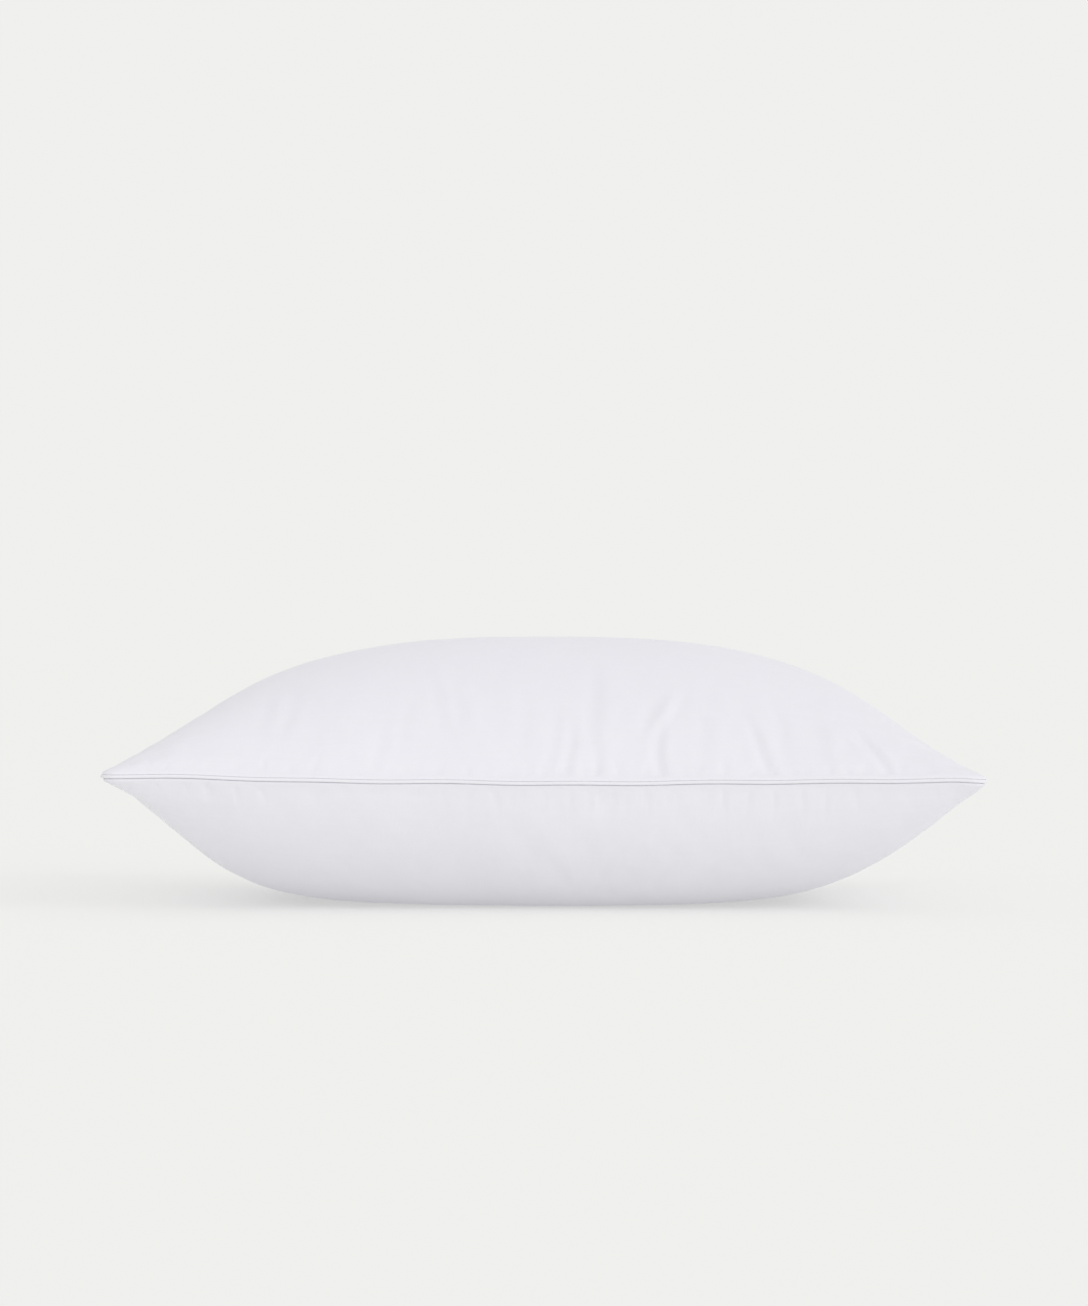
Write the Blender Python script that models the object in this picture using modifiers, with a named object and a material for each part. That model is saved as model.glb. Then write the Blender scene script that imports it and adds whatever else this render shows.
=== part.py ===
"""Bed pillow: a down-filled chamber pillow in a white cotton shell with a corded edge.

Two shell panels are sewn together around their rim with a piping between them, and
turned so that every seam allowance lies inside. Two thinner panels caught in the same
seam split the inside into three chambers: a firm core and a soft layer above and below
it. The pillow rests on the floor, so its underside has a flat patch where its weight
presses it down.

Frame: metres, +Z up, +X along the length. The origin is on the floor, under the centre.
"""

import math

import bmesh
import bpy
from mathutils import Vector

MM = 0.001

# Overall form. Length and width are measured at the panels' rims, corner to corner.
LENGTH = 0.638
WIDTH = 0.488
LOFT = 0.200
SEAM_HEIGHT = 0.096
LONG_SIDE_PULL_IN = 0.016  # how far filling draws in the middle of a long side
SHORT_SIDE_PULL_IN = 0.022
CORNER_RADIUS = 0.014
CROWN_POWER_X = 2.4  # how squarely the crown rises from the short sides
CROWN_POWER_Y = 2.0
BELLY_DEPTH = 0.130  # how far the belly would hang if no floor flattened it
BELLY_EASE = 1.3  # how softly the belly rounds into its flat patch

# Chambers. The core takes this share of the rise above and of the drop below the seam.
CORE_SHARE = 0.62

# Cloths and threads, each with its own thickness.
SHELL_CLOTH = 0.4 * MM
CHAMBER_CLOTH = 0.4 * MM
PIPING_CLOTH = 0.4 * MM
CORD_RADIUS = 0.8 * MM
SEAM_THREAD_RADIUS = 0.2 * MM
CLOSING_THREAD_RADIUS = 0.25 * MM
OVERLOCK_THREAD = 0.3 * MM

# Seam.
SEAM_ALLOWANCE = 9.0 * MM
OVERLOCK_BITE = 2.5 * MM  # how far the overlock reaches over the raw edges
CLOSING_LENGTH = 0.210  # the gap in a short side that the fill went in through
CLOSING_INSET = 2.5 * MM  # from the rim of the shell to the closing stitches

# Care label.
LABEL_WIDTH = 25.0 * MM
LABEL_DROP = 45.0 * MM
LABEL_CLOTH = 0.3 * MM
LABEL_BEND = 2.0 * MM
LABEL_SEGMENT = 4  # which stretch of the rear seam it hangs from, counted from +X

# Clearances.
GAP = 0.3 * MM  # between neighbouring cloths
FILL_GAP = 0.6 * MM  # above and below a fill, measured straight up
FILL_SETBACK = 1.5 * MM  # from the overlocked edge to the fill
STEEP = 1.8  # cloth thickness straight up, against square to the steepest flank

# How finely the cloths are divided. The cells get narrower towards the rim.
CELLS_X = 16
CELLS_Y = 12
CROWDING = 0.5  # 0 spaces them evenly and 1 as a sine
PIPING_FACETS = 8

HALF_LENGTH = LENGTH / 2
HALF_WIDTH = WIDTH / 2

# Heights above the seam plane of the layers in the seam, from the middle outwards.
FLANGE_LEVEL = GAP / 2 + PIPING_CLOTH / 2
SHELL_FLAP = GAP / 2 + PIPING_CLOTH + GAP
CHAMBER_FLAP = SHELL_FLAP + SHELL_CLOTH + GAP
THREAD_LEVEL = CHAMBER_FLAP + CHAMBER_CLOTH + GAP + SEAM_THREAD_RADIUS
CHAMBER_RIM = THREAD_LEVEL + SEAM_THREAD_RADIUS + GAP + CHAMBER_CLOTH
SHELL_RIM = CHAMBER_RIM + GAP + SHELL_CLOTH

# How far the folds stand out beyond the rim, and where the piping and threads run.
SHELL_FOLD = (SHELL_RIM - SHELL_FLAP) * 0.31
CHAMBER_INSET = SHELL_CLOTH + GAP
CHAMBER_FOLD = (CHAMBER_RIM - CHAMBER_FLAP) * 0.33
THREAD_INSET = CHAMBER_INSET + CHAMBER_CLOTH + SEAM_THREAD_RADIUS
PIPING_OPENING = math.asin((GAP / 2 + PIPING_CLOTH) / (CORD_RADIUS + GAP + PIPING_CLOTH))
PIPING_TURN = 2 * (math.pi - PIPING_OPENING) / PIPING_FACETS
PIPING_RADIUS = (CORD_RADIUS + GAP + PIPING_CLOTH) / math.cos(PIPING_TURN / 2)
PIPING_OUT = math.sqrt((PIPING_RADIUS + GAP) ** 2 - SHELL_FLAP**2)
FILL_EDGE = SEAM_ALLOWANCE + GAP + OVERLOCK_THREAD + FILL_SETBACK


def lines(cells, half, pull_in):
    """Grid lines from -1 to 1, with the outermost cell as wide as the seam."""
    inner = 1 - FILL_EDGE / (half - pull_in)
    even = [2 * k / (cells - 2) - 1 for k in range(cells - 1)]
    crowded = [t + CROWDING * (math.sin(t * math.pi / 2) - t) for t in even]
    return [-1.0, *(inner * t for t in crowded), 1.0]


LINES_U = lines(CELLS_X, HALF_LENGTH, SHORT_SIDE_PULL_IN)
LINES_V = lines(CELLS_Y, HALF_WIDTH, LONG_SIDE_PULL_IN)


def plan(u, v):
    """Where a point of the unit square lies, seen from above: drawn-in sides and round corners."""
    half_x = HALF_LENGTH - SHORT_SIDE_PULL_IN * (1 - v * v)
    half_y = HALF_WIDTH - LONG_SIDE_PULL_IN * (1 - u * u)
    x, y = abs(u) * half_x, abs(v) * half_y
    into_x = x - (half_x - CORNER_RADIUS)
    into_y = y - (half_y - CORNER_RADIUS)
    if into_x > 0 and into_y > 0:
        shrink = 1 - max(into_x, into_y) / math.hypot(into_x, into_y)
        x -= into_x * shrink
        y -= into_y * shrink
    return Vector((math.copysign(x, u), math.copysign(y, v)))


def fullness(u, v):
    """0 at the rim and 1 at the crown, with soft ridges that run out to the corners."""
    across = 1 - abs(u) ** CROWN_POWER_X
    along = 1 - abs(v) ** CROWN_POWER_Y
    if min(across, along) <= 0:
        return 0.0
    return math.sqrt(2) * across * along / math.hypot(across, along)


def crown(u, v, share=1.0):
    """How far a panel rises above its rim."""
    return share * (LOFT - SEAM_HEIGHT - SHELL_RIM) * fullness(u, v)


def belly(u, v, share=1.0):
    """How far a panel drops below its rim, easing into a flat patch on the floor."""
    floor = SEAM_HEIGHT - SHELL_RIM
    reach = min(BELLY_DEPTH * fullness(u, v) / (floor * BELLY_EASE), 1.0)
    return share * floor * (1 - (1 - reach) ** BELLY_EASE)


def panel_point(u, v, side, rim, share, lift=0.0):
    """A point of a panel above (side 1) or below (side -1) the seam, moved lift towards the outside."""
    swell = crown(u, v, share) if side > 0 else belly(u, v, share)
    return Vector((*plan(u, v), SEAM_HEIGHT + side * (rim + swell + lift)))


def rim_cells():
    """The grid's rim, as (column, row) pairs, anticlockwise from the -X -Y corner."""
    across = [(i, 0) for i in range(CELLS_X)]
    up = [(CELLS_X, j) for j in range(CELLS_Y)]
    back = [(i, CELLS_Y) for i in range(CELLS_X, 0, -1)]
    down = [(0, j) for j in range(CELLS_Y, 0, -1)]
    return across + up + back + down


def rim_frames():
    """For each point of the rim: its place and a vector outwards that keeps offsets parallel."""
    points = [plan(LINES_U[i], LINES_V[j]) for i, j in rim_cells()]
    frames = []
    for k, here in enumerate(points):
        before = (here - points[k - 1]).normalized()
        after = (points[(k + 1) % len(points)] - here).normalized()
        normal = Vector((before.y + after.y, -before.x - after.x)).normalized()
        stretch = normal.dot(Vector((after.y, -after.x)))
        frames.append((here, normal / stretch))
    return frames


RIM_CELLS = rim_cells()
RIM = rim_frames()


def seam_point(index, out, up):
    """A point beside the rim: out from it, and up from the seam plane."""
    here, normal = RIM[index]
    return Vector((*(here + normal * out), SEAM_HEIGHT + up))


def clear_scene():
    for old in list(bpy.data.objects):
        bpy.data.objects.remove(old)


def collection(name):
    made = bpy.data.collections.new(name)
    bpy.context.scene.collection.children.link(made)
    return made


def material(name, colour, roughness):
    made = bpy.data.materials.new(name)
    made.use_nodes = True
    shader = made.node_tree.nodes["Principled BSDF"]
    shader.inputs["Base Color"].default_value = (*colour, 1.0)
    shader.inputs["Roughness"].default_value = roughness
    shader.inputs["Metallic"].default_value = 0.0
    made.diffuse_color = (*colour, 1.0)
    return made


def add_object(name, data, finish):
    made = bpy.data.objects.new(name, data)
    data.materials.append(finish)
    PARTS.objects.link(made)
    return made


def mesh_object(name, bm, finish):
    mesh = bpy.data.meshes.new(name)
    bm.to_mesh(mesh)
    bm.free()
    made = add_object(name, mesh, finish)
    mesh.shade_smooth()
    mesh.set_sharp_from_angle(angle=math.radians(40))
    return made


def unit_grid(bm, cells_x, cells_y):
    """Adds a flat grid split along its ridges to the corners: its vertices by (column, row)."""
    made = bmesh.ops.create_grid(bm, x_segments=cells_x, y_segments=cells_y, size=1)["verts"]
    split = {"FIXED": [], "ALTERNATE": []}
    for face in {face for vertex in made for face in vertex.link_faces}:
        middle = face.calc_center_median()
        split["FIXED" if middle.x * middle.y > 0 else "ALTERNATE"].append(face)
    for method, faces in split.items():
        bmesh.ops.triangulate(bm, faces=faces, quad_method=method)
    return {
        (round((v.co.x + 1) / 2 * cells_x), round((v.co.y + 1) / 2 * cells_y)): v
        for v in made
    }


def extrude(bm, edges):
    """Extrudes a chain of edges in place, and returns its new edges and vertices."""
    grown = bmesh.ops.extrude_edge_only(bm, edges=edges)["geom"]
    fresh = {item for item in grown if isinstance(item, bmesh.types.BMVert)}
    chain = [
        item
        for item in grown
        if isinstance(item, bmesh.types.BMEdge) and set(item.verts) <= fresh
    ]
    return chain, fresh


def extrude_round_rim(bm, edges, seam, profile):
    """Extrudes a loop of edges that follows the rim through these (out, up) steps."""
    for out, up in profile:
        edges, fresh = extrude(bm, edges)
        for vertex in fresh:
            vertex.co = seam_point(vertex[seam], out, up)


def thicken(made, cloth, offset):
    """Gives an open surface its thickness: -1 behind its faces, 0 to both sides."""
    solidify = made.modifiers.new("Cloth thickness", "SOLIDIFY")
    solidify.thickness = cloth
    solidify.offset = offset
    solidify.use_even_offset = True


def panel(name, side, rim, share, inset, profile, cloth, finish):
    """One sewn panel: its swollen face, then its rim folded under into a flat seam allowance."""
    bm = bmesh.new()
    seam = bm.verts.layers.int.new("seam")
    grid = unit_grid(bm, CELLS_X, CELLS_Y)
    for (i, j), vertex in grid.items():
        vertex.co = panel_point(LINES_U[i], LINES_V[j], side, rim, share)
    for index, cell in enumerate(RIM_CELLS):
        grid[cell][seam] = index
        grid[cell].co = seam_point(index, -inset, side * rim)
    edges = [edge for edge in bm.edges if edge.is_boundary]
    extrude_round_rim(bm, edges, seam, [(out, side * up) for out, up in profile])
    if side < 0:
        bmesh.ops.reverse_faces(bm, faces=bm.faces)
    thicken(mesh_object(name, bm, finish), cloth, -1)


def strip(name, profile, cloth, finish):
    """A strip sewn round the whole rim, with this (out, up) profile."""
    bm = bmesh.new()
    seam = bm.verts.layers.int.new("seam")
    loop = []
    for index in range(len(RIM)):
        loop.append(bm.verts.new(seam_point(index, *profile[0])))
        loop[-1][seam] = index
    edges = [bm.edges.new((loop[k - 1], loop[k])) for k in range(len(loop))]
    extrude_round_rim(bm, edges, seam, profile[1:])
    thicken(mesh_object(name, bm, finish), cloth, -1)


def fold_profile(inset, fold, rim, flap):
    """A panel's rim, as (out, up) steps: round the fold, then flat to the raw edge."""
    return [(fold - inset, (rim + flap) / 2), (-inset, flap), (-SEAM_ALLOWANCE, flap)]


def fill(name, upper, lower, finish):
    """A soft mass between two surfaces, inside the outermost ring of the grid."""
    bm = bmesh.new()
    rims = []
    for surface, faces_up in ((upper, True), (lower, False)):
        grid = unit_grid(bm, CELLS_X - 2, CELLS_Y - 2)
        for (i, j), vertex in grid.items():
            vertex.co = surface(LINES_U[i + 1], LINES_V[j + 1])
        faces = {face for vertex in grid.values() for face in vertex.link_faces}
        rims += [e for e in bm.edges if e.is_boundary and e.verts[0] in grid.values()]
        if not faces_up:
            bmesh.ops.reverse_faces(bm, faces=list(faces))
    bmesh.ops.bridge_loops(bm, edges=rims)
    bmesh.ops.recalc_face_normals(bm, faces=bm.faces)
    return mesh_object(name, bm, finish)


def round_ring(name, out, up, radius, resolution, finish):
    """A thread or cord that runs round the whole rim."""
    curve = bpy.data.curves.new(name, "CURVE")
    curve.dimensions = "3D"
    spline = curve.splines.new("POLY")
    spline.points.add(len(RIM) - 1)
    for index, point in enumerate(spline.points):
        point.co = (*seam_point(index, out, up), 1.0)
    spline.use_cyclic_u = True
    curve.bevel_depth = radius
    curve.bevel_resolution = resolution
    return add_object(name, curve, finish)


def shells():
    """The upper and lower shell panels."""
    profile = fold_profile(0.0, SHELL_FOLD, SHELL_RIM, SHELL_FLAP)
    finish = material("shell_cotton", (0.86, 0.87, 0.90), 0.75)
    for name, side in (("shell_top", 1), ("shell_bottom", -1)):
        panel(name, side, SHELL_RIM, 1.0, 0.0, profile, SHELL_CLOTH, finish)


def chambers():
    """The two inner panels that part the core from the soft layers."""
    profile = fold_profile(CHAMBER_INSET, CHAMBER_FOLD, CHAMBER_RIM, CHAMBER_FLAP)
    finish = material("chamber_cambric", (0.84, 0.82, 0.77), 0.8)
    for name, side in (("chamber_top", 1), ("chamber_bottom", -1)):
        panel(
            name, side, CHAMBER_RIM, CORE_SHARE, CHAMBER_INSET, profile, CHAMBER_CLOTH, finish
        )


def fills():
    """The core, and the soft layer on each side of it."""
    under_shell = -(SHELL_CLOTH * STEEP + FILL_GAP)
    under_chamber = -(CHAMBER_CLOTH * STEEP + FILL_GAP)

    def core(side):
        return lambda u, v: panel_point(u, v, side, CHAMBER_RIM, CORE_SHARE, under_chamber)

    def outer(side):
        return lambda u, v: panel_point(u, v, side, SHELL_RIM, 1.0, under_shell)

    def inner(side):
        return lambda u, v: panel_point(u, v, side, CHAMBER_RIM, CORE_SHARE, FILL_GAP)

    down = material("down_clusters", (0.88, 0.87, 0.84), 0.95)
    feather = material("feather_core", (0.78, 0.75, 0.69), 0.95)
    fill("fill_top", outer(1), inner(1), down)
    fill("fill_core", core(1), core(-1), feather)
    fill("fill_bottom", inner(-1), outer(-1), down)


def piping():
    """A bias strip wrapped round a cotton cord, its two flanges caught in the seam."""
    string = material("piping_string", (0.80, 0.77, 0.70), 0.9)
    round_ring("piping_cord", PIPING_OUT, 0.0, CORD_RADIUS, 2, string)
    cotton = material("piping_cotton", (0.88, 0.89, 0.92), 0.7)
    flange = GAP / 2 + PIPING_CLOTH
    profile = [(-SEAM_ALLOWANCE, flange)]
    for k in range(PIPING_FACETS + 1):
        angle = math.pi - PIPING_OPENING - PIPING_TURN * k
        profile.append(
            (PIPING_OUT + PIPING_RADIUS * math.cos(angle), PIPING_RADIUS * math.sin(angle))
        )
    profile.append((-SEAM_ALLOWANCE, -flange))
    strip("piping_cover", profile, PIPING_CLOTH, cotton)


def threads():
    """The seam's needle and bobbin threads, and the overlock round the raw edges."""
    white = material("sewing_thread", (0.90, 0.90, 0.90), 0.6)
    for name, side in (("seam_thread_upper", 1), ("seam_thread_lower", -1)):
        round_ring(name, -THREAD_INSET, side * THREAD_LEVEL, SEAM_THREAD_RADIUS, 1, white)
    level = CHAMBER_FLAP + CHAMBER_CLOTH + GAP
    mouth = OVERLOCK_BITE - SEAM_ALLOWANCE
    back = -SEAM_ALLOWANCE - GAP
    profile = [(mouth, level), (back, level), (back, -level), (mouth, -level)]
    strip("overlock_thread", profile, OVERLOCK_THREAD, white)
    return white


def closing_stitches(white):
    """The line of edge stitching that shuts the filling gap in the +X side, on both faces."""
    rows = [j for j in range(CELLS_Y + 1) if abs(plan(1.0, LINES_V[j]).y) <= CLOSING_LENGTH / 2]
    stand_off = GAP + CLOSING_THREAD_RADIUS
    for name, side in (("closing_stitch_upper", 1), ("closing_stitch_lower", -1)):
        curve = bpy.data.curves.new(name, "CURVE")
        curve.dimensions = "3D"
        spline = curve.splines.new("POLY")
        spline.points.add(len(rows) - 1)
        for point, j in zip(spline.points, rows):
            rim = seam_point(CELLS_X + j, 0.0, side * SHELL_RIM)
            inner = panel_point(LINES_U[-2], LINES_V[j], side, SHELL_RIM, 1.0)
            flank = (inner - rim).normalized()
            outward = flank.cross(Vector((0, -side, 0))).normalized()
            point.co = (*(rim + flank * CLOSING_INSET + outward * stand_off), 1.0)
        curve.bevel_depth = CLOSING_THREAD_RADIUS
        curve.bevel_resolution = 1
        curve.use_fill_caps = True
        add_object(name, curve, white)


def care_label():
    """A plain woven tape caught under the piping of the rear side, hanging over the belly."""
    index = CELLS_X + CELLS_Y + LABEL_SEGMENT
    (start, _), (end, _) = RIM[index], RIM[index + 1]
    along = (end - start).normalized()
    across = Vector((along.y, -along.x))
    middle = (start + end) / 2
    top = -(PIPING_RADIUS + GAP + LABEL_CLOTH / 2)
    reach = PIPING_OUT + PIPING_RADIUS
    path = [(SHELL_FOLD + GAP, top)]
    for k in range(5):
        turn = math.pi / 2 * k / 4
        path.append(
            (reach + LABEL_BEND * math.sin(turn), top - LABEL_BEND * (1 - math.cos(turn)))
        )
    path.append((reach + LABEL_BEND, top - LABEL_DROP))
    bm = bmesh.new()
    first = bmesh.ops.create_vert(bm, co=(-LABEL_WIDTH / 2, *path[0]))["vert"][0]
    second = bmesh.ops.create_vert(bm, co=(LABEL_WIDTH / 2, *path[0]))["vert"][0]
    edges = [bm.edges.new((first, second))]
    for (out, up), (next_out, next_up) in zip(path, path[1:]):
        edges, fresh = extrude(bm, edges)
        bmesh.ops.translate(bm, verts=list(fresh), vec=(0, next_out - out, next_up - up))
    tape = material("label_tape", (0.90, 0.90, 0.88), 0.5)
    made = mesh_object("care_label", bm, tape)
    made.location = (*middle, SEAM_HEIGHT)
    made.rotation_euler.z = math.atan2(-across.x, across.y)
    thicken(made, LABEL_CLOTH, 0)


clear_scene()
PARTS = collection("bed_pillow")
shells()
chambers()
fills()
piping()
closing_stitches(threads())
care_label()
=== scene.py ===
"""Bed pillow: cotton shell with a corded edge, three chambers of fill inside.

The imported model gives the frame. The sections follow the pillow as it is sewn and filled.
"""

import math
from collections import namedtuple

import bmesh
import bpy
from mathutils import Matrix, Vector, noise
from mathutils.bvhtree import BVHTree


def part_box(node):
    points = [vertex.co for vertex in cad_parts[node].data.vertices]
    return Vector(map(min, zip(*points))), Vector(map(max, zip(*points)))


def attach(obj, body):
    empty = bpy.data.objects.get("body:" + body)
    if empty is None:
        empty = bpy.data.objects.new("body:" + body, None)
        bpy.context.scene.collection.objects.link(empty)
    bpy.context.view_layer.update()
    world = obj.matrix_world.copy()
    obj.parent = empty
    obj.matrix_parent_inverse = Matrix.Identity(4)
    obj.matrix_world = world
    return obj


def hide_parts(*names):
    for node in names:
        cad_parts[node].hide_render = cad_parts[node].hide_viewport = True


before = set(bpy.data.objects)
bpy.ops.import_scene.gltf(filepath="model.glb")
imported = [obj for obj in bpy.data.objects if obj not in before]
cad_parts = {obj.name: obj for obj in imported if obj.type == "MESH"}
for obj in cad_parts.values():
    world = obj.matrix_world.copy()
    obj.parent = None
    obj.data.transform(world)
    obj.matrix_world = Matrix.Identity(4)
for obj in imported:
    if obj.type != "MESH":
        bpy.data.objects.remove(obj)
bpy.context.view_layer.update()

# --------------------------------------------------------------------------- the view
# A long lens a little above the pillow, in front of one long side, looking almost level.

camera_data = bpy.data.cameras.new("camera")
camera_data.lens = 125.0
camera_data.sensor_width = 36.0
camera = bpy.data.objects.new("camera", camera_data)
camera.location = (0.0, -3.5, 0.2)
camera.rotation_euler = (math.radians(90 - 0.18), 0.0, 0.0)
bpy.context.scene.collection.objects.link(camera)
bpy.context.scene.camera = camera
bpy.context.scene.view_settings.view_transform = "Standard"

# --------------------------------------------------------------------------- the studio
# A wide sheet of pale acrylic lit from behind, a broad soft key from the front right, and
# an even fill from all round.

BACKGROUND = (0.871, 0.871, 0.856)

world = bpy.data.worlds.new("studio")
bpy.context.scene.world = world
world.use_nodes = True
studio = world.node_tree
ambient = studio.nodes["Background"]
ambient.inputs["Color"].default_value = (1.0, 1.0, 1.0, 1.0)
ambient.inputs["Strength"].default_value = 0.832
backdrop = studio.nodes.new("ShaderNodeBackground")
backdrop.inputs["Color"].default_value = (*BACKGROUND, 1.0)
seen = studio.nodes.new("ShaderNodeLightPath")
either = studio.nodes.new("ShaderNodeMixShader")
studio.links.new(seen.outputs["Is Camera Ray"], either.inputs["Fac"])
studio.links.new(ambient.outputs["Background"], either.inputs[1])
studio.links.new(backdrop.outputs["Background"], either.inputs[2])
studio.links.new(either.outputs["Shader"], studio.nodes["World Output"].inputs["Surface"])

key_data = bpy.data.lights.new("key", "SUN")
key_data.energy = 0.65
key_data.angle = math.radians(40)
key = bpy.data.objects.new("key", key_data)
key.rotation_euler = Vector((0.70, -0.65, 0.30)).to_track_quat("Z", "Y").to_euler()
bpy.context.scene.collection.objects.link(key)

floor_mesh = bpy.data.meshes.new("floor")
bm = bmesh.new()
bmesh.ops.create_grid(bm, x_segments=1, y_segments=1, size=40.0)
bm.to_mesh(floor_mesh)
bm.free()
studio_floor = bpy.data.objects.new("floor", floor_mesh)
bpy.context.scene.collection.objects.link(studio_floor)
floor_paint = bpy.data.materials.new("floor_paint")
floor_paint.use_nodes = True
floor_shader = floor_paint.node_tree.nodes["Principled BSDF"]
floor_shader.inputs["Base Color"].default_value = (0.62, 0.62, 0.605, 1.0)
floor_shader.inputs["Emission Color"].default_value = (1.0, 1.0, 0.985, 1.0)
floor_shader.inputs["Emission Strength"].default_value = 0.316
floor_shader.inputs["Roughness"].default_value = 1.0
floor_shader.inputs["Specular IOR Level"].default_value = 0.0
floor_mesh.materials.append(floor_paint)

# --------------------------------------------------------------------------- shell panels
# Two panels of white cotton percale, cut 660 x 508 mm between the seam lines and sewn
# together round the rim. The fill swells them, and draws the sides in between the corners.

HALF_LENGTH = 0.319
HALF_WIDTH = 0.244
SHORT_SIDE_PULL_IN = 0.022
LONG_SIDE_PULL_IN = 0.016
CORNER_RADIUS = 0.014
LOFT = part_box("shell_top")[1][2]
SEAM_HEIGHT = (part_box("piping_cord")[0][2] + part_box("piping_cord")[1][2]) / 2
RIM_RISE = 0.00405  # from the seam plane to the rim of each panel
BELLY_DEPTH = 0.190  # how far the belly would hang with no floor under it
BELLY_EASE = 2.05
CLOTH = 0.0004
CUT_LENGTH = 0.660
CUT_WIDTH = 0.508
ALLOWANCE = 0.009
STITCHED = 0.002  # the part of the allowance next to the seam, which is never cut back
CORNER_CLIP = 0.005  # how much of the allowance is cut away across a corner
CLIP_ENDS = (0.022, 0.004)  # from the corner, where the cut starts and is full, in turns
CLIP_GROWTH = 0.0065  # how far in from the stitched part the cut grows to its full amount
LOOK_AHEAD = 0.0018  # how far along the seam its direction is read, in turns
LONG_SHARE = HALF_LENGTH / (HALF_LENGTH + HALF_WIDTH) / 2  # one long side, in turns
CELLS_X = 144
CELLS_Y = 64
CROWDING_X = 0.15  # how far the grid's lines are drawn to the rim, where the folds are
CROWDING_Y = 0.35
SETTLE_FRAMES = 26
ON_THE_FLOOR = 0.0002  # cloth that starts lower than this lies on the floor and stays there
FLAT_CORNER = (0.012, 0.050)  # no fold starts nearer a corner, and all are full from here on
EASED = {1: 0.085, -1: 0.050}  # how far in from the seam each panel has spare cloth


def smooth(low, high, value):
    """0 at low, 1 at high, an even curve between, and flat beyond, whichever is the greater."""
    t = min(max((value - low) / (high - low), 0.0), 1.0)
    return t * t * (3 - 2 * t)


def plan(u, v):
    """Where a point of the unit square lies, seen from above."""
    half_x = HALF_LENGTH - SHORT_SIDE_PULL_IN * (1 - v * v)
    half_y = HALF_WIDTH - LONG_SIDE_PULL_IN * (1 - u * u)
    x, y = abs(u) * half_x, abs(v) * half_y
    into_x = x - (half_x - CORNER_RADIUS)
    into_y = y - (half_y - CORNER_RADIUS)
    if into_x > 0 and into_y > 0:
        shrink = 1 - max(into_x, into_y) / math.hypot(into_x, into_y)
        x -= into_x * shrink
        y -= into_y * shrink
    return math.copysign(x, u), math.copysign(y, v)


def seam_level(x, y):
    """The seam's height: one front corner sits a little proud, and the rest wavers by a hair."""
    front = smooth(0.05, -0.15, y)
    lift = 0.0052 * smooth(0.02, 0.34, -x) * front
    lift += 0.0022 * smooth(0.10, 0.28, x) * smooth(0.335, 0.29, x) * front
    lift += 0.0030 * smooth(0.10, 0.34, x) * (1 - front)
    lift += 0.0004 * math.sin(31 * x + 11 * y) + 0.0003 * math.sin(67 * x - 23 * y + 1.0)
    return SEAM_HEIGHT + lift


def fullness(u, v, long_way, short_way, roundness):
    """0 at the rim and 1 at the crown, with soft ridges that run out to the corners."""
    across, along = 1 - abs(u) ** long_way, 1 - abs(v) ** short_way
    if min(across, along) <= 0:
        return 0.0
    return (2 / (across**-roundness + along**-roundness)) ** (1 / roundness)


def swollen(u, v, side):
    """A point of the upper (1) or lower (-1) panel before the cloth settles.

    The powers set how square each panel's profile is, along and across the pillow.
    """
    x, y = plan(u, v)
    level = seam_level(x, y)
    right = smooth(-0.5, 0.5, u)  # the fill lies a little fuller towards the right
    drop = level - RIM_RISE
    if side > 0:
        full = fullness(u, v, 2.62 + 0.25 * right, 1.95, 0.50) ** (1.30 + 0.11 * right)
        return Vector((x, y, level + RIM_RISE + (LOFT - level - RIM_RISE) * full))
    full = fullness(u, v, 2.66 - 0.60 * right, 1.78, 0.45) ** (1.48 - 0.26 * right)
    reach = min(BELLY_DEPTH * full / (drop * BELLY_EASE), 1.0)
    return Vector((x, y, drop * (1 - reach) ** BELLY_EASE))


def crowded(t, amount):
    """Moves a grid line at t, from -1 to 1, towards the rim."""
    return t + amount * (math.sin(t * math.pi / 2) - t)


# Creases of the upper panel's front flank: the place on the seam and how far it leans by
# the top, how high it starts and ends, its half width and its depth, in millimetres.
CREASES = (
    (84, -1, -2, 44, 3.8, 1.2),
    (80, 15, 36, 64, 4.6, -0.9),
    (71, 13, 36, 62, 5.5, 0.7),
    (167, -21, 0, 46, 4.0, 1.2),
    (175, -9, 22, 60, 5.4, 0.6),
    (251, -23, 0, 36, 3.6, 1.1),
    (37, -1, -4, 38, 4.4, 0.6),
    (31, 7, 32, 82, 6.0, 0.7),
    (17, 2, 6, 48, 3.8, 0.8),
    (4, 3, 2, 52, 4.4, 0.5),
    (-14, -4, 28, 70, 6.0, 0.4),
    (-62, -8, 40, 84, 6.0, 0.5),
    (-76, -9, 38, 84, 5.4, 0.5),
    (-104, 5, 24, 64, 5.4, 0.35),
    (-122, 4, 4, 46, 5.0, 0.35),
    (-190, 6, 32, 64, 5.0, 0.45),
    (-207, 5, 36, 62, 4.6, 0.4),
    (112, 4, 4, 54, 6.5, 0.4),
    (205, -12, 6, 50, 5.8, 0.45),
)


def crease_depth(x, rise):
    """How deep the upper panel's front creases are at x, this far above the seam."""
    depth = 0.0
    for foot, lean, start, end, half_width, deep in CREASES:
        along = (rise / 0.001 - start) / (end - start)
        if not -0.2 < along < 1.2:
            continue
        centre = foot + lean * along + 1.5 * math.sin(5 * along + foot)
        away = (x / 0.001 - centre) / half_width
        fade = smooth(-0.2, 0.25, along) * smooth(1.2, 0.6, along)
        swell = 0.5 * math.exp(-((away - 1.9) ** 2))  # the cloth stands up beside each crease
        depth += deep * 0.001 * fade * (math.exp(-away * away) - swell)
    return depth


# The folds that run in from the seam: shortest, longest, how closely they follow, depth.
PUCKERS = (0.004, 0.018, 52, 0.0010)
LONG_FOLDS = (0.010, 0.085, 19, 0.0019)


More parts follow.
